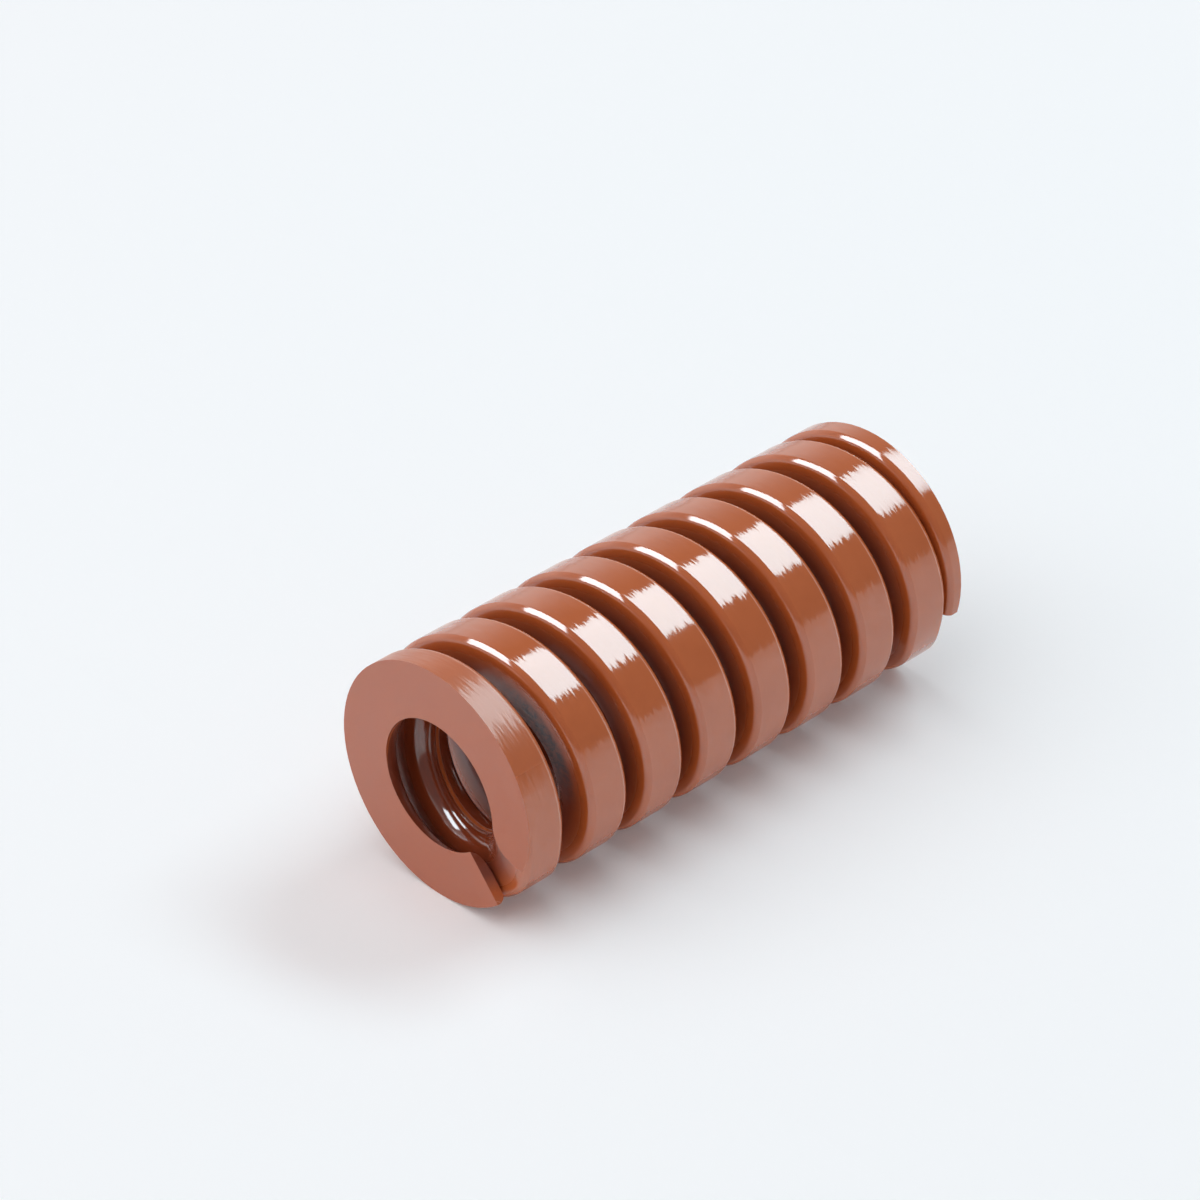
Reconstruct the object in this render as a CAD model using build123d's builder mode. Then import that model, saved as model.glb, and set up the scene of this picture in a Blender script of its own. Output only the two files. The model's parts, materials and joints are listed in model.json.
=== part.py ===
"""Die spring: one coiled wire of rounded rectangular section, with both ends closed and ground.

The spring stands on its bottom end. Its axis is Z, and Z = 0 is the ground face of that end.
The wire winds to the right from its bottom tip to its top tip.
"""

import os
from math import ceil, sqrt

from build123d import *
from build123d.topology import SkipClean

# Sizes over the coils, in millimetres
outer_diameter = 30.0
bore_diameter = 16.0
free_length = 70.0

# Winding, in turns from one wire tip to the other
total_turns = 8.9
bottom_tip_angle = 275.0

# Wire section: widths are along the spring's axis, depths are across it
wire_width = 6.0
land_width = 4.4
shoulder_depth = 1.05
bore_land_width = 1.6
bore_corner_depth = 2.3

# The wire tip that grinding leaves at each end, and the crack between it and the next turn
bottom_tip_thickness = 1.3
bottom_tip_gap = 0.35
top_tip_thickness = 1.8
top_tip_gap = 0.2

# An end turn lies almost flat, and by itself its flank would leave the ground face after so many
# turns from the tip. Over the last part of the first turn the wire steps up past its tip instead.
ground_turns = 0.98
step_turns = 0.12

# The wire is lofted in lengths of a third of a turn or less, each through this many sections
lengths_per_turn = 3
sections_per_length = 13

# The section is drawn this much too tall on each side, and the outside and the bore trim it
trim_allowance = 0.6

outer_radius = outer_diameter / 2
bore_radius = bore_diameter / 2

# The lengths are laid out from the middle of the wire, so both ends are divided alike, and the
# seam of the tube that trims them lies where two lengths meet
middle_turn = total_turns / 2
lengths_per_half = ceil(middle_turn * lengths_per_turn)
seam_angle = bottom_tip_angle + 360 * middle_turn

# The first full turn at each end clears the tip that it passes, and the open turns share the rest
bottom_turn_height = bottom_tip_thickness + bottom_tip_gap + wire_width / 2
top_turn_height = top_tip_thickness + top_tip_gap + wire_width / 2
pitch = (free_length - bottom_turn_height - top_turn_height) / (total_turns - 2)


def height_from_end(turns_from_tip, tip_thickness, first_turn_height):
    """Height of the wire's middle above the nearer ground face, so many turns from that tip."""
    ground_pitch = (wire_width - tip_thickness) / ground_turns
    ground_line = tip_thickness - wire_width / 2 + ground_pitch * turns_from_tip
    open_line = first_turn_height + pitch * (turns_from_tip - 1)
    share = (turns_from_tip - (1 - step_turns)) / step_turns
    share = min(max(share, 0), 1)
    blend = share * share * (3 - 2 * share)
    return ground_line + (open_line - ground_line) * blend


def wire_height(turn):
    """Height of the wire's middle above the bottom face, so many turns from the bottom tip."""
    if turn < middle_turn:
        return height_from_end(turn, bottom_tip_thickness, bottom_turn_height)
    return free_length - height_from_end(total_turns - turn, top_tip_thickness, top_turn_height)


def wire_section(turn):
    """Section of the wire in the plane of the spring's axis, with X outward and Y along the axis."""
    outward = Vector(1, 0, 0).rotate(Axis.Z, bottom_tip_angle + 360 * turn)
    plane = Plane(origin=(0, 0, wire_height(turn)), x_dir=outward, z_dir=outward.cross(Vector(0, 0, 1)))
    corner_rise = (wire_width - bore_land_width) / 2
    with BuildSketch(plane) as section:
        with BuildLine():
            half = Polyline(
                (outer_radius + trim_allowance, 0),
                (outer_radius + trim_allowance, land_width / 2),
                (outer_radius, land_width / 2),
                (outer_radius - shoulder_depth, wire_width / 2),
                (bore_radius + bore_corner_depth, wire_width / 2),
                (bore_radius + bore_corner_depth * (1 - sqrt(0.5)), bore_land_width / 2 + corner_rise * sqrt(0.5)),
                (bore_radius, bore_land_width / 2),
                (bore_radius - trim_allowance, bore_land_width / 2),
                (bore_radius - trim_allowance, 0),
            )
            mirror(half, about=Plane.XZ)
        make_face()
    return section.sketch


def wire_length(start, end):
    """One length of the wire, trimmed by the outside, the bore and the two ground faces."""
    steps = sections_per_length - 1
    with BuildPart() as length:
        loft(sections=[wire_section(start + (end - start) * step / steps) for step in range(steps + 1)])
        with BuildSketch(Plane.XY.rotated((0, 0, seam_angle))):
            Circle(outer_radius)
            Circle(bore_radius, mode=Mode.SUBTRACT)
        extrude(amount=free_length, mode=Mode.INTERSECT)
    return length.part


with BuildPart() as die_spring:
    for number in range(-lengths_per_half, lengths_per_half):
        start = max(middle_turn + number / lengths_per_turn, 0)
        end = min(middle_turn + (number + 1) / lengths_per_turn, total_turns)
        with SkipClean():
            add(wire_length(start, end))

die_spring.part.label = "die_spring"

os.makedirs("parts", exist_ok=True)
export_step(die_spring.part, "parts/die_spring.step")
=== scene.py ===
# %% [markdown]
# # A die spring in glossy brown enamel
# A die spring is a short and very stiff compression spring for press tools. Steel wire of rounded
# rectangular section is coiled, both ends are pressed closed and ground flat, and the whole spring
# is coated with a baked enamel whose colour tells how stiff it is.
# The CAD model gives its true sizes. This script winds the same wire again with softer corners,
# gives it the enamel, and sets up a floor, lamps and a camera.

# %% Load the frame
import json
import math

import bmesh
import bpy
from mathutils import Matrix, Vector


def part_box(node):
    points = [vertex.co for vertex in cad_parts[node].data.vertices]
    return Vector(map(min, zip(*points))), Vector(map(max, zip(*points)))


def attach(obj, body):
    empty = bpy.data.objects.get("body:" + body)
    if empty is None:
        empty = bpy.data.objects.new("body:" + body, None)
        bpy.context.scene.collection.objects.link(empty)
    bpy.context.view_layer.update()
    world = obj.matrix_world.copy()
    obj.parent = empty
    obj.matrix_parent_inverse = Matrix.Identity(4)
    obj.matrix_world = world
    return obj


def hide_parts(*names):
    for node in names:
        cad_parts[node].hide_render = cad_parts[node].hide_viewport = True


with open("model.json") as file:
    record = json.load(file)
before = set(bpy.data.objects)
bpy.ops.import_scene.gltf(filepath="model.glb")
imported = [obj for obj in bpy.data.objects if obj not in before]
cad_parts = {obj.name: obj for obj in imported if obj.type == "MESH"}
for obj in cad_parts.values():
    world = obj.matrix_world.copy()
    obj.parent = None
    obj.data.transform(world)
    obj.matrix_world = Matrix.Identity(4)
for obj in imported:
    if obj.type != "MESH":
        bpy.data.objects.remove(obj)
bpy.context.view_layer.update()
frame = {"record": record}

MM = 0.001

# %% [markdown]
# ## Sizes
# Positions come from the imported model: its box gives the free length and the outside diameter, and
# its bore mount gives the inside. The wire's own sizes repeat those of the CAD source, because the
# frame doesn't hold them.

# %% Sizes of the spring and its wire
low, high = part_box("die_spring")
free_length = high.z - low.z
outer_radius = (high.x - low.x) / 2
bore_mount = next(m for m in frame["record"]["mounts"] if m["name"] == "bore")
bore_radius = bore_mount["dims"]["r_mm"] * MM

total_turns = 8.9
bottom_tip_angle = math.radians(275)
wire_width = 6.0 * MM
land_width = 4.4 * MM
bottom_tip_thickness, bottom_tip_gap = 1.3 * MM, 0.35 * MM
top_tip_thickness, top_tip_gap = 1.8 * MM, 0.2 * MM
ground_turns = 0.98
step_turns = 0.12

bottom_turn_height = bottom_tip_thickness + bottom_tip_gap + wire_width / 2
top_turn_height = top_tip_thickness + top_tip_gap + wire_width / 2
pitch = (free_length - bottom_turn_height - top_turn_height) / (total_turns - 2)
print(f"outside {2 * outer_radius / MM:.1f} mm, bore {2 * bore_radius / MM:.1f} mm")
print(f"free length {free_length / MM:.1f} mm, pitch {pitch / MM:.2f} mm")

# %% [markdown]
# ## How high the wire is
# The wire's middle climbs slowly while the end is ground, steps up past its own tip, and then
# climbs at an even pitch. A plain helix would miss the closed ends, so the height is a small
# function of the turns from the nearer tip. The two tips differ in thickness.

# %% Height of the wire after so many turns
def height_from_end(turns, tip_thickness, first_turn_height):
    ground_climb = (wire_width - tip_thickness) / ground_turns
    ground_line = tip_thickness - wire_width / 2 + ground_climb * turns
    open_line = first_turn_height + pitch * (turns - 1)
    share = min(max((turns - (1 - step_turns)) / step_turns, 0), 1)
    return ground_line + (open_line - ground_line) * share * share * (3 - 2 * share)


def wire_height(turns):
    if turns < total_turns / 2:
        return low.z + height_from_end(turns, bottom_tip_thickness, bottom_turn_height)
    return high.z - height_from_end(total_turns - turns, top_tip_thickness, top_turn_height)


print("height after 0, 1 and 2 turns:", [round(wire_height(t) / MM, 2) for t in (0, 1, 2)])

# %% [markdown]
# ## The wire's section
# The wire has a flat land on the outside with crisp edges, rounded shoulders beside it, flat
# flanks, and large soft corners towards the bore. One plain polygon holds the corners, and a
# vertex bevel gives each its own rounding, which is easier to change than arcs drawn by hand.

# %% Corners of the section
def half_section():
    """Corners from the bore to the middle of the land, each with its rounding, in mm."""
    outside = outer_radius / MM
    bore = bore_radius / MM
    half_wire = wire_width / MM / 2
    half_land = land_width / MM / 2
    return [
        (bore, half_wire - 2.0, 0.5),  # edge of the narrow land at the bore
        (bore + 0.7, half_wire - 0.6, 0.8),  # soft corner at the bore
        (bore + 2.7, half_wire, 0.9),  # the flank begins
        (outside - 1.05, half_wire, 0.3),  # the flank ends
        (outside - 0.45, half_wire - 0.1, 0.2),  # upper part of the shoulder
        (outside - 0.18, half_land + 0.36, 0.15),  # lower part of the shoulder
        (outside, half_land, 0.05),  # crisp edge of the land
    ]


print("corners on each half of the section:", len(half_section()))

# %% Draw the section and round its corners
crisp_rounding = 0.1

spring_mesh = bmesh.new()
wire_mm = spring_mesh.verts.layers.float_vector.new("wire_mm")
corners = half_section()
outline = [(x, -z, r) for x, z, r in corners] + [(x, z, r) for x, z, r in reversed(corners)]
corner_verts = [spring_mesh.verts.new((x * MM, 0, z * MM)) for x, z, r in outline]
spring_mesh.faces.new(corner_verts)
for vert, (x, z, rounding) in zip(corner_verts, outline):
    bmesh.ops.bevel(
        spring_mesh, geom=[vert], offset=rounding * MM, offset_type="OFFSET",
        segments=2 if rounding < crisp_rounding else 4, profile=0.5, affect="VERTICES",
        material=-1,
    )
print("section corners after rounding:", len(spring_mesh.verts))

# %% [markdown]
# ## Winding the wire
# A spring is a spin with a climb: the spin operator turns the section about the axis and lifts it
# a little at each step. The climb changes near the ends, so the wire is spun one step at a time.
# Every corner remembers how far along the wire and round the section it lies, in millimetres, and
# the enamel's streaks follow those two lengths later.

# %% Measure the way round the section
spring_mesh.faces.ensure_lookup_table()
first_face = spring_mesh.faces[0]
ring_verts = first_face.verts[:]
girth = 0.0
for vert, following in zip(ring_verts, ring_verts[1:] + ring_verts[:1]):
    vert[wire_mm] = Vector((0, girth, 0))
    girth += (following.co - vert.co).length / MM
half_girth = ring_verts[-1][wire_mm].y / 2
for vert in ring_verts:
    vert[wire_mm].y -= half_girth  # 0 is now the middle of the land
print(f"the way round the section is {girth:.1f} mm")

# %% Wind the wire from its bottom tip to its top tip
steps_per_turn = 72
step_count = round(total_turns * steps_per_turn)
step_angle = 2 * math.pi * total_turns / step_count
turn_length = 2 * math.pi * outer_radius / MM

turn_to_start = Matrix.Rotation(bottom_tip_angle, 3, "Z")
bmesh.ops.rotate(spring_mesh, verts=ring_verts, cent=(0, 0, 0), matrix=turn_to_start)
bmesh.ops.translate(spring_mesh, verts=ring_verts, vec=(0, 0, wire_height(0)))

ring = first_face.edges[:]
for step in range(step_count):
    turns_before = total_turns * step / step_count
    turns_after = total_turns * (step + 1) / step_count
    climb = wire_height(turns_after) - wire_height(turns_before)
    spun = bmesh.ops.spin(
        spring_mesh, geom=ring, cent=(0, 0, 0), axis=(0, 0, 1),
        dvec=(0, 0, climb), angle=step_angle, steps=1,
    )
    ring = [part for part in spun["geom_last"] if isinstance(part, bmesh.types.BMEdge)]
    for vert in {vert for edge in ring for vert in edge.verts}:
        vert[wire_mm].x = turns_after * turn_length
bmesh.ops.contextual_create(spring_mesh, geom=ring)
print(f"{step_count} steps, {len(spring_mesh.faces)} faces, {turn_length:.1f} mm a turn")

# %% [markdown]
# ## Grinding the ends
# Grinding takes away everything past a plane and leaves a flat face that thins towards the tip. A
# boolean could do it, but a bisect at each end is quicker and cleaner: it cuts the mesh along the
# plane, and the open edge is filled by one flat face.

# %% Grind both ends flat
DRAWN, GROUND = 0, 1
for end_height, outward in ((low.z, -1), (high.z, 1)):
    everything = spring_mesh.verts[:] + spring_mesh.edges[:] + spring_mesh.faces[:]
    bmesh.ops.bisect_plane(
        spring_mesh, geom=everything, dist=1e-7, plane_co=(0, 0, end_height),
        plane_no=(0, 0, outward), clear_outer=True,
    )
    open_edges = [edge for edge in spring_mesh.edges if edge.is_boundary]
    filled = bmesh.ops.contextual_create(spring_mesh, geom=open_edges)
    for face in filled["faces"]:
        face.material_index = GROUND
    print("ground face corners:", [len(face.verts) for face in filled["faces"]])

# %% [markdown]
# ## Smooth and crisp
# The real wire has no facets, so the drawn wire is shaded smooth, and only edges that turn by more
# than a set angle stay crisp. Smooth shading alone would make the flat lands look crowned, so a
# Weighted Normal modifier lets the large flat faces decide.

# %% Shade the wire smooth between its crisp edges
crisp_angle = math.radians(28)
for face in spring_mesh.faces:
    face.smooth = face.material_index == DRAWN
bmesh.ops.triangulate(
    spring_mesh, faces=[face for face in spring_mesh.faces if len(face.verts) > 4]
)
bmesh.ops.recalc_face_normals(spring_mesh, faces=spring_mesh.faces[:])
for edge in spring_mesh.edges:
    edge.smooth = edge.calc_face_angle(0) < crisp_angle
print("volume in cubic mm:", round(spring_mesh.calc_volume() / MM**3))

# %% Make the spring's object
wire_data = bpy.data.meshes.new("enamelled_spring")
spring_mesh.to_mesh(wire_data)
spring_mesh.free()
spring = bpy.data.objects.new("enamelled_spring", wire_data)
bpy.context.scene.collection.objects.link(spring)
flat_lands = spring.modifiers.new("flat_lands", "WEIGHTED_NORMAL")
flat_lands.keep_sharp = True
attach(spring, "root")
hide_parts("die_spring")
print("triangles:", sum(len(face.vertices) - 2 for face in wire_data.polygons))

# %% [markdown]
# ## Colours and nodes
# Colours are written as the hex values a painter would read off a swatch, and turned to linear
# light, because Blender mixes light and not screen values. One function adds a node, sets it up
# and links it. A Mix node has a pair of sockets for every kind of data, which share their names,
# so they are picked by number.

# %% Small helpers for materials
MIX_SHARE = 0
NUMBER_A, NUMBER_B = 2, 3
COLOUR_A, COLOUR_B = 6, 7
MIXED_COLOUR = 2


def linear(hex_colour):
    channels = [int(hex_colour[i:i + 2], 16) / 255 for i in (1, 3, 5)]
    return (*[c / 12.92 if c <= 0.04045 else ((c + 0.055) / 1.055) ** 2.4 for c in channels], 1)


def add_node(tree, kind, settings=None, inputs=None):
    node = tree.nodes.new(kind)
    for name, value in (settings or {}).items():
        setattr(node, name, value)
    for name, value in (inputs or {}).items():
        if isinstance(value, bpy.types.NodeSocket):
            tree.links.new(value, node.inputs[name])
        else:
            node.inputs[name].default_value = value
    return node


def new_material(name):
    material = bpy.data.materials.new(name)
    material.use_nodes = True
    material.node_tree.nodes.clear()
    return material, material.node_tree


print("enamel as linear light:", [round(c, 3) for c in linear("#B55829")])

# %% [markdown]
# ## The baked enamel on the drawn wire
# The enamel is a coloured lacquer, baked on the steel. It gives the eye a deep orange-brown with a
# clear, sharp gloss. The shader's index of refraction is set above a real lacquer's, because the
# soft boxes have to show in it as brightly as they do on the real coat. The look changes along the
# wire and round it, so every part of it starts from the two stored lengths, in millimetres.

# %% Where on the wire a point lies
drawn_enamel, tree = new_material("glossy_baked_enamel")
lengths = add_node(tree, "ShaderNodeAttribute", {"attribute_name": "wire_mm"})
way = add_node(tree, "ShaderNodeSeparateXYZ", None, {0: lengths.outputs["Vector"]})
mm_along, mm_round = way.outputs["X"], way.outputs["Y"]
from_land = add_node(tree, "ShaderNodeMath", {"operation": "ABSOLUTE"}, {0: mm_round})
mm_from_land = from_land.outputs[0]

half_land_mm = land_width / MM / 2
end_turn_until, open_wire_from = 70.0, 95.0
enamel_index = 1.9
print(f"the land reaches {half_land_mm:.1f} mm to each side, the end turn {end_turn_until} mm")

# %% [markdown]
# ## Streaks of the drawing die
# Fine lines from drawing the wire show through the coat, so the edges of a bright reflection break
# up into streaks that run along the wire. Noise is stretched along the wire for them. They tilt the
# surface only along the winding, which a bump map can't do, so the normal is tipped by hand
# towards the direction of winding. The lands have the streaks, and the pressed end turn has the
# most.

# %% Noise stretched along the wire
streak_length, streak_width = 3.0, 0.28
streak_place = add_node(
    tree, "ShaderNodeVectorMath", {"operation": "MULTIPLY"},
    {0: lengths.outputs["Vector"], 1: (1 / streak_length, 1 / streak_width, 0)},
)
streaks = add_node(
    tree, "ShaderNodeTexNoise", {"noise_dimensions": "2D"},
    {"Vector": streak_place.outputs[0], "Scale": 1.0, "Detail": 3.0, "Roughness": 0.6},
)
uneven = add_node(
    tree, "ShaderNodeMath", {"operation": "SUBTRACT"}, {0: streaks.outputs["Fac"], 1: 0.5}
)
print(f"streaks about {streak_length} mm long and {streak_width} mm wide")

# %% How strong the streaks are
end_turn_strength, open_turn_strength = 0.4, 0.17
share_beside_land, land_fade = 0.12, 0.5

on_land = add_node(
    tree, "ShaderNodeMapRange", None,
    {
        "Value": mm_from_land, "From Min": half_land_mm, "From Max": half_land_mm + land_fade,
        "To Min": 1.0, "To Max": share_beside_land,
    },
)
along_wire = add_node(
    tree, "ShaderNodeMapRange", None,
    {
        "Value": mm_along, "From Min": end_turn_until, "From Max": open_wire_from,
        "To Min": end_turn_strength, "To Max": open_turn_strength,
    },
)
strength = add_node(
    tree, "ShaderNodeMath", {"operation": "MULTIPLY"},
    {0: on_land.outputs[0], 1: along_wire.outputs[0]},
)
tip = add_node(
    tree, "ShaderNodeMath", {"operation": "MULTIPLY"},
    {0: uneven.outputs[0], 1: strength.outputs[0]},
)
print(f"streak strength {end_turn_strength} on the end turn, {open_turn_strength} on the others")

# %% Tip the normal along the winding
place = add_node(tree, "ShaderNodeTexCoord")
winding = add_node(
    tree, "ShaderNodeVectorMath", {"operation": "CROSS_PRODUCT"},
    {0: (0, 0, 1), 1: place.outputs["Object"]},
)
winding_unit = add_node(
    tree, "ShaderNodeVectorMath", {"operation": "NORMALIZE"}, {0: winding.outputs[0]}
)
tip_vector = add_node(
    tree, "ShaderNodeVectorMath", {"operation": "SCALE"},
    {0: winding_unit.outputs[0], "Scale": tip.outputs[0]},
)
surface = add_node(tree, "ShaderNodeNewGeometry")
tipped = add_node(
    tree, "ShaderNodeVectorMath", {"operation": "ADD"},
    {0: surface.outputs["Normal"], 1: tip_vector.outputs[0]},
)
normal = add_node(
    tree, "ShaderNodeVectorMath", {"operation": "NORMALIZE"}, {0: tipped.outputs[0]}
)
print("nodes so far:", len(tree.nodes))

# %% [markdown]
# ## The coat's colour
# A coat of paint is never quite even, so soft clouds mix two close browns. Between the coils
# the coat is painted a darker brown, as painted shade for the shade that falls in the gaps and
# in the bore. Along one edge of the land, on the side of the spring's top end, a pale line is
# painted as a highlight, for the glint that the land's crisp edge catches, broken up by the
# streaks. One colour is mixed over another for each of these, since every layer then keeps its
# own limits.

# %% Soft clouds in the coat
coat_cloud_size = 5.0

clouds = add_node(
    tree, "ShaderNodeTexNoise", None,
    {"Vector": lengths.outputs["Vector"], "Scale": 1 / coat_cloud_size, "Detail": 3.0},
)
coat = add_node(
    tree, "ShaderNodeMix", {"data_type": "RGBA"},
    {MIX_SHARE: clouds.outputs["Fac"], COLOUR_A: linear("#B55829"), COLOUR_B: linear("#C46434")},
)
print(f"clouds about {coat_cloud_size} mm across")

# %% Painted shade: a darker coat between the coils
# Painted shade: past the shoulders the coat is mixed towards a dark brown, standing in for the shade
# that falls in the gaps between the coils and in the bore.
gap_shade_from, gap_shade_full = 3.4, 6.0

gap_shade = add_node(
    tree, "ShaderNodeMapRange", None,
    {
        "Value": mm_from_land, "From Min": gap_shade_from, "From Max": gap_shade_full,
        "To Min": 0.0, "To Max": 1.0,
    },
)
coat_with_gap_shade = add_node(
    tree, "ShaderNodeMix", {"data_type": "RGBA"},
    {
        MIX_SHARE: gap_shade.outputs[0], COLOUR_A: coat.outputs[MIXED_COLOUR],
        COLOUR_B: linear("#84381D"),
    },
)
print(f"darkest from {gap_shade_full} mm round the section")

# %% A painted highlight along one edge of the land
# Painted highlight: a pale line along the land's edge on the top end's side stands in for the glint
# that the crisp edge catches, broken up by the streaks.
highlight_core, highlight_end, highlight_share = 0.04, 0.14, 0.6

past_edge = add_node(
    tree, "ShaderNodeMath", {"operation": "SUBTRACT"}, {0: mm_round, 1: half_land_mm}
)
from_edge = add_node(tree, "ShaderNodeMath", {"operation": "ABSOLUTE"}, {0: past_edge.outputs[0]})
edge_highlight = add_node(
    tree, "ShaderNodeMapRange", None,
    {
        "Value": from_edge.outputs[0], "From Min": highlight_core, "From Max": highlight_end,
        "To Min": highlight_share, "To Max": 0.0,
    },
)
broken_edge_highlight = add_node(
    tree, "ShaderNodeMath", {"operation": "MULTIPLY"},
    {0: edge_highlight.outputs[0], 1: streaks.outputs["Fac"]},
)
coat_with_edge_highlight = add_node(
    tree, "ShaderNodeMix", {"data_type": "RGBA"},
    {
        MIX_SHARE: broken_edge_highlight.outputs[0], COLOUR_A: coat_with_gap_shade.outputs[MIXED_COLOUR],
        COLOUR_B: linear("#F0C0A8"),
    },
)
print(f"pale line {2 * highlight_end:.2f} mm wide")

# %% [markdown]
# ## A rubbed place
# On the second turn, the flank that faces the pressed end is rubbed dark and dull in one place. A
# painted mask could mark it, but a window in the two lengths needs no image, and a fine noise
# makes it grainy.

# %% Where the coat is rubbed
rub_middle, rub_core, rub_end = 166.0, 5.0, 13.0
rub_full_depth, rub_edge = -5.5, -4.7

from_rub = add_node(
    tree, "ShaderNodeMath", {"operation": "SUBTRACT"}, {0: mm_along, 1: rub_middle}
)
rub_distance = add_node(tree, "ShaderNodeMath", {"operation": "ABSOLUTE"}, {0: from_rub.outputs[0]})
rub_length = add_node(
    tree, "ShaderNodeMapRange", None,
    {
        "Value": rub_distance.outputs[0], "From Min": rub_core, "From Max": rub_end,
        "To Min": 1.0, "To Max": 0.0,
    },
)
rub_depth = add_node(
    tree, "ShaderNodeMapRange", None,
    {
        "Value": mm_round, "From Min": rub_full_depth, "From Max": rub_edge,
        "To Min": 1.0, "To Max": 0.0,
    },
)
rub_area = add_node(
    tree, "ShaderNodeMath", {"operation": "MULTIPLY"},
    {0: rub_length.outputs["Result"], 1: rub_depth.outputs["Result"]},
)
print(f"rubbed place after {rub_middle / turn_length:.2f} turns, {2 * rub_end:.0f} mm long")

# %% Dark grains in the rubbed place
grains_per_mm, faintest_grain = 1.5, 0.35

grains = add_node(
    tree, "ShaderNodeTexNoise", None,
    {
        "Vector": lengths.outputs["Vector"], "Scale": grains_per_mm, "Detail": 4.0,
        "Roughness": 0.7,
    },
)
grain_share = add_node(
    tree, "ShaderNodeMapRange", None,
    {
        "Value": grains.outputs["Fac"], "From Min": 0.4, "From Max": 0.55,
        "To Min": faintest_grain, "To Max": 1.0,
    },
)
rubbed = add_node(
    tree, "ShaderNodeMath", {"operation": "MULTIPLY"},
    {0: rub_area.outputs[0], 1: grain_share.outputs["Result"]},
)
coat_with_rub = add_node(
    tree, "ShaderNodeMix", {"data_type": "RGBA"},
    {
        MIX_SHARE: rubbed.outputs[0], COLOUR_A: coat_with_edge_highlight.outputs[MIXED_COLOUR],
        COLOUR_B: linear("#40343A"),
    },
)
print(f"grains about {1 / grains_per_mm:.1f} mm across")

# %% [markdown]
# ## The coat's gloss
# The lands and shoulders of the open turns have the sharpest gloss. The pressed end turn is
# duller, and so are the flanks between the coils. The rubbed place is dullest. Roughness holds all
# of this, because it blurs a reflection without changing the coat's colour.

# %% Roughness along the wire and on its flanks
end_turn_roughness, open_turn_roughness = 0.3, 0.1
flank_roughness, rubbed_roughness = 0.22, 0.5
flank_from, flank_full = 3.4, 4.4
bore_corner_from, bore_from = 6.8, 8.4

end_turn_dullness = add_node(
    tree, "ShaderNodeMapRange", None,
    {
        "Value": mm_along, "From Min": end_turn_until, "From Max": open_wire_from,
        "To Min": end_turn_roughness, "To Max": open_turn_roughness,
    },
)
flank_start = add_node(
    tree, "ShaderNodeMapRange", None,
    {
        "Value": mm_from_land, "From Min": flank_from, "From Max": flank_full,
        "To Min": 0.0, "To Max": flank_roughness,
    },
)
flank_end = add_node(
    tree, "ShaderNodeMapRange", None,
    {
        "Value": mm_from_land, "From Min": bore_corner_from, "From Max": bore_from,
        "To Min": 1.0, "To Max": 0.0,
    },
)
coat_dullness = add_node(
    tree, "ShaderNodeMath", {"operation": "MULTIPLY_ADD"},
    {
        0: flank_start.outputs["Result"], 1: flank_end.outputs["Result"],
        2: end_turn_dullness.outputs["Result"],
    },
)
roughness = add_node(
    tree, "ShaderNodeMix", {"data_type": "FLOAT"},
    {
        MIX_SHARE: rubbed.outputs[0], NUMBER_A: coat_dullness.outputs[0],
        NUMBER_B: rubbed_roughness,
    },
)
print(f"roughness from {open_turn_roughness} to {rubbed_roughness}")

# %% Put the enamel on the drawn wire
enamel_shader = add_node(
    tree, "ShaderNodeBsdfPrincipled", None,
    {
        "Base Color": coat_with_rub.outputs[MIXED_COLOUR], "Roughness": roughness.outputs[0],
        "IOR": enamel_index, "Normal": normal.outputs[0],
    },
)
add_node(tree, "ShaderNodeOutputMaterial", None, {"Surface": enamel_shader.outputs[0]})
wire_data.materials.append(drawn_enamel)
print("glossy_baked_enamel:", len(tree.nodes), "nodes")

# %% [markdown]
# ## The enamel on the ground ends
# On the ground ends the same enamel looks satin. It gives the eye an even, soft sheen with faint
# clouds and a slight orange peel. These faces are flat and the coat on them has no direction, so
# their patterns read Object coordinates instead of the wire's lengths, and a plain bump is enough.

# %% Clouds and peel of the satin enamel
cloud_size, peel_size, peel_depth = 6 * MM, 0.8 * MM, 0.02 * MM

ground_enamel, tree = new_material("satin_enamel_on_ground_steel")
place = add_node(tree, "ShaderNodeTexCoord")
face_clouds = add_node(
    tree, "ShaderNodeTexNoise", None,
    {"Vector": place.outputs["Object"], "Scale": 1 / cloud_size, "Detail": 3.0},
)
face_coat = add_node(
    tree, "ShaderNodeMix", {"data_type": "RGBA"},
    {
        MIX_SHARE: face_clouds.outputs["Fac"], COLOUR_A: linear("#AE5329"),
        COLOUR_B: linear("#BA5B2D"),
    },
)
face_dullness = add_node(
    tree, "ShaderNodeMapRange", None,
    {
        "Value": face_clouds.outputs["Fac"], "From Min": 0.3, "From Max": 0.7,
        "To Min": 0.31, "To Max": 0.39,
    },
)
peel = add_node(
    tree, "ShaderNodeTexNoise", None,
    {"Vector": place.outputs["Object"], "Scale": 1 / peel_size, "Detail": 2.0},
)
peel_bump = add_node(
    tree, "ShaderNodeBump", None,
    {"Height": peel.outputs["Fac"], "Strength": 0.3, "Distance": peel_depth},
)
print(f"clouds {cloud_size / MM:.1f} mm and peel {peel_size / MM:.1f} mm across")

# %% Put the satin enamel on the ground ends
ground_shader = add_node(
    tree, "ShaderNodeBsdfPrincipled", None,
    {
        "Base Color": face_coat.outputs[MIXED_COLOUR],
        "Roughness": face_dullness.outputs["Result"],
        "IOR": enamel_index, "Normal": peel_bump.outputs["Normal"],
    },
)
add_node(tree, "ShaderNodeOutputMaterial", None, {"Surface": ground_shader.outputs[0]})
wire_data.materials.append(ground_enamel)
print("materials on the spring:", [material.name for material in wire_data.materials])

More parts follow.
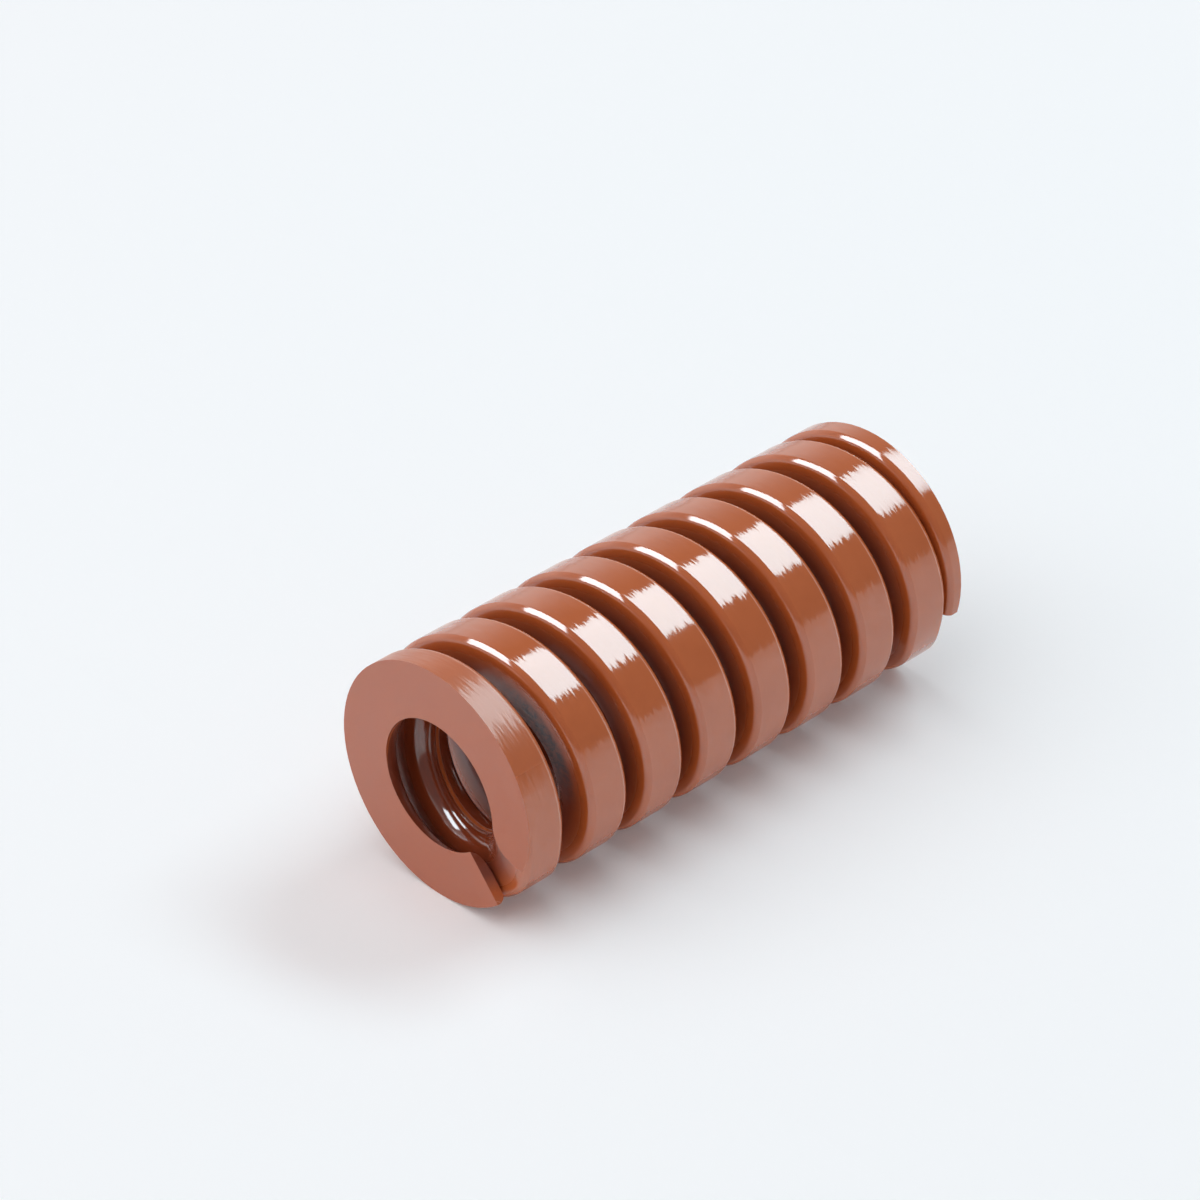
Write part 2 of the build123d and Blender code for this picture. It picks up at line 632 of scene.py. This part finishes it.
# %% [markdown]
# ## Which way the spring lies
# The spring stands on its end in its own frame, but it is shown lying on its side. Turning the
# spring would break its frame, so the studio is turned instead: the floor, the lamps and the
# camera are all placed by three directions of the lying spring.

# %% Directions as the spring lies on its side
up = Vector((-1, 1, 0)).normalized()
across = Vector((-1, -1, 0)).normalized()
along = Vector((0, 0, 1))
middle = Vector((0, 0, (low.z + high.z) / 2))


def towards(share_across, share_up, share_along):
    return (across * share_across + up * share_up + along * share_along).normalized()


print("the spring's middle in mm:", [round(v / MM, 1) for v in middle])

# %% [markdown]
# ## The floor
# Matt white paper is a diffuse surface. Two sheets of it do different work: the spring lies on one
# in the main view, and the other is under its end, for views in which it stands. Each sheet is
# clear from behind, so that neither hides the spring from any side. The sheet beside the coils is
# seen in reflections too. It lets shadow rays pass, so that the room's even light still reaches
# the coils from below. Far from the spring the paper glows evenly for the camera, which hides the
# floor's end as a curved studio backdrop does.

# %% Paper that glows where it is far from the spring
paper_colour, glow_colour = "#FCFAFC", "#F7F8FB"
glow_from, glow_full, least_glow = 0.14, 0.5, 0.1


def glowing_paper(tree, path, facing):
    away = add_node(
        tree, "ShaderNodeVectorMath", {"operation": "DISTANCE"},
        {0: facing.outputs["Position"], 1: tuple(middle)},
    )
    fade = add_node(
        tree, "ShaderNodeMapRange", None,
        {
            "Value": away.outputs["Value"], "From Min": glow_from, "From Max": glow_full,
            "To Min": least_glow, "To Max": 1.0,
        },
    )
    glow_share = add_node(
        tree, "ShaderNodeMath", {"operation": "MULTIPLY"},
        {0: path.outputs["Is Camera Ray"], 1: fade.outputs["Result"]},
    )
    paper = add_node(tree, "ShaderNodeBsdfDiffuse", None, {"Color": linear(paper_colour)})
    glow = add_node(
        tree, "ShaderNodeEmission", None, {"Color": linear(glow_colour), "Strength": 1.0}
    )
    return add_node(
        tree, "ShaderNodeMixShader", None,
        {0: glow_share.outputs[0], 1: paper.outputs[0], 2: glow.outputs[0]},
    )


print(f"the paper only glows from {glow_full} m on")

# %% Matt paper that is seen from one side only
def matt_paper(name, seen_by_all):
    material, tree = new_material(name)
    path = add_node(tree, "ShaderNodeLightPath")
    facing = add_node(tree, "ShaderNodeNewGeometry")
    front = add_node(
        tree, "ShaderNodeMath", {"operation": "SUBTRACT"},
        {0: 1.0, 1: facing.outputs["Backfacing"]},
    )
    if seen_by_all:
        ray = add_node(
            tree, "ShaderNodeMath", {"operation": "SUBTRACT"},
            {0: 1.0, 1: path.outputs["Is Shadow Ray"]},
        ).outputs[0]
    else:
        ray = path.outputs["Is Camera Ray"]
    seen = add_node(
        tree, "ShaderNodeMath", {"operation": "MULTIPLY"}, {0: front.outputs[0], 1: ray}
    )
    lit = glowing_paper(tree, path, facing)
    clear = add_node(tree, "ShaderNodeBsdfTransparent")
    one_sided = add_node(
        tree, "ShaderNodeMixShader", None,
        {0: seen.outputs[0], 1: clear.outputs[0], 2: lit.outputs[0]},
    )
    add_node(tree, "ShaderNodeOutputMaterial", None, {"Surface": one_sided.outputs[0]})
    return material


print(f"paper {paper_colour}, glow {glow_colour}")

# %% Lay the two sheets
sheet_half_width = 4.0
gap_under_end, gap_beside_coils = 0.15 * MM, 0.02 * MM


def lay_sheet(name, centre, facing, seen_by_all):
    sheet = bmesh.new()
    bmesh.ops.create_grid(sheet, x_segments=1, y_segments=1, size=sheet_half_width)
    turn = facing.to_track_quat("Z", "Y").to_matrix().to_4x4()
    bmesh.ops.transform(sheet, verts=sheet.verts, matrix=Matrix.Translation(centre) @ turn)
    data = bpy.data.meshes.new(name)
    sheet.to_mesh(data)
    sheet.free()
    data.materials.append(matt_paper("matt_paper_" + name, seen_by_all))
    surface_object = bpy.data.objects.new(name, data)
    bpy.context.scene.collection.objects.link(surface_object)
    print(f"{name}: {2 * sheet_half_width:.0f} m square")


lay_sheet("floor_under_the_end", Vector((0, 0, low.z - gap_under_end)), along, False)
lay_sheet(
    "floor_beside_the_coils", middle - up * (outer_radius + gap_beside_coils), up, True
)

# %% [markdown]
# ## Lamps
# A studio lights glossy things with large soft boxes, whose own shapes are then seen in the gloss.
# The rear soft box draws the bright patch on each land. The front one draws the thin crescent on
# each shoulder and only shows in the gloss, and the large overhead one gives the even light. A
# lamp's power is worked out from how bright its panel is, so a change of size keeps that.

# %% Three soft boxes
def add_soft_box(name, direction, distance, width, height, radiance, colour, lights, mirrored):
    data = bpy.data.lights.new(name, "AREA")
    data.shape = "RECTANGLE"
    data.size = width
    data.size_y = height
    data.color = linear(colour)[:3]
    data.energy = radiance * math.pi * width * height
    lamp = bpy.data.objects.new(name, data)
    lamp.location = middle + direction * distance
    lamp.rotation_euler = direction.to_track_quat("Z", "Y").to_euler()
    lamp.visible_diffuse = lights
    lamp.visible_glossy = mirrored
    bpy.context.scene.collection.objects.link(lamp)
    print(f"{name}: {data.energy:.2f} W")


add_soft_box(
    "rear_softbox", towards(0.14, 0.79, 0.6), distance=1.2, width=0.84, height=0.26,
    radiance=7.2, colour="#DDF9FF", lights=True, mirrored=True,
)
add_soft_box(
    "front_softbox", towards(-0.42, 0.85, -0.3), distance=0.8, width=0.54, height=0.56,
    radiance=9.5, colour="#E8F8FF", lights=False, mirrored=True,
)
add_soft_box(
    "overhead_softbox", towards(-0.25, 0.88, -0.4), distance=1.0, width=1.5, height=1.5,
    radiance=1.2, colour="#FFFFFF", lights=True, mirrored=False,
)

# %% [markdown]
# ## The room
# The world stands for a pale room. It lights matt surfaces evenly. Reflections see its walls: a
# white wall on the far side that fades upwards, and a low sweep on the near side. The camera sees
# plain near-white. Real walls as meshes would cost more time and show in views from other sides.

# %% How bright the walls are in each direction
wall_bright, wall_dim = 0.95, 0.2

world = bpy.data.worlds.new("pale_room")
bpy.context.scene.world = world
world.use_nodes = True
tree = world.node_tree
tree.nodes.clear()
sight = add_node(tree, "ShaderNodeTexCoord")
sight_up = add_node(
    tree, "ShaderNodeVectorMath", {"operation": "DOT_PRODUCT"},
    {0: sight.outputs["Generated"], 1: tuple(up)},
)
sight_across = add_node(
    tree, "ShaderNodeVectorMath", {"operation": "DOT_PRODUCT"},
    {0: sight.outputs["Generated"], 1: tuple(across)},
)
near_sweep = add_node(
    tree, "ShaderNodeMapRange", None,
    {
        "Value": sight_up.outputs["Value"], "From Min": 0.02, "From Max": 0.1,
        "To Min": wall_bright, "To Max": wall_dim,
    },
)
far_wall = add_node(
    tree, "ShaderNodeMapRange", None,
    {
        "Value": sight_up.outputs["Value"], "From Min": 0.3, "From Max": 0.75,
        "To Min": wall_bright, "To Max": wall_dim,
    },
)
near_side = add_node(
    tree, "ShaderNodeMapRange", None,
    {
        "Value": sight_across.outputs["Value"], "From Min": -0.1, "From Max": 0.1,
        "To Min": 0.0, "To Max": 1.0,
    },
)
walls = add_node(
    tree, "ShaderNodeMix", {"data_type": "FLOAT"},
    {
        MIX_SHARE: near_side.outputs["Result"], NUMBER_A: far_wall.outputs["Result"],
        NUMBER_B: near_sweep.outputs["Result"],
    },
)
print(f"wall brightness from {wall_dim} to {wall_bright}")

# %% Which rays see what
room_light = 0.3

path = add_node(tree, "ShaderNodeLightPath")
even_light = add_node(
    tree, "ShaderNodeBackground", None, {"Color": linear("#FFFFFF"), "Strength": room_light}
)
wall_light = add_node(
    tree, "ShaderNodeBackground", None,
    {"Color": linear("#FFFFFF"), "Strength": walls.outputs[0]},
)
backdrop = add_node(
    tree, "ShaderNodeBackground", None, {"Color": linear(glow_colour), "Strength": 1.0}
)
mirrored_room = add_node(
    tree, "ShaderNodeMixShader", None,
    {0: path.outputs["Is Glossy Ray"], 1: even_light.outputs[0], 2: wall_light.outputs[0]},
)
seen_room = add_node(
    tree, "ShaderNodeMixShader", None,
    {0: path.outputs["Is Camera Ray"], 1: mirrored_room.outputs[0], 2: backdrop.outputs[0]},
)
add_node(tree, "ShaderNodeOutputWorld", None, {"Surface": seen_room.outputs[0]})
print("pale_room:", len(tree.nodes), "nodes")

# %% [markdown]
# ## Camera
# A long lens half a metre away looks down on the bottom end of the lying spring. A short lens close
# by would make the near end look too large. The camera's place and two of its directions are given,
# and the third follows from them.

# %% Place the camera
camera_place = Vector((-0.4209, -0.0069, -0.2695))
view_right = Vector((-0.4905, -0.5029, 0.7117)).normalized()
view_forward = Vector((0.8127, 0.0307, 0.5818)).normalized()
view_up = view_right.cross(view_forward).normalized()
view_angle = math.radians(15.06)

camera_data = bpy.data.cameras.new("camera")
camera_data.sensor_fit = "HORIZONTAL"
camera_data.angle = view_angle
camera_data.clip_start = 0.01
camera = bpy.data.objects.new("camera", camera_data)
view_axes = Matrix((view_right, view_up, -view_forward)).transposed().to_4x4()
camera.matrix_world = Matrix.Translation(camera_place) @ view_axes
bpy.context.scene.collection.objects.link(camera)
bpy.context.scene.camera = camera
bpy.context.scene.view_settings.view_transform = "Standard"
print(f"the camera is {(camera_place - middle).length:.2f} m from the spring's middle")
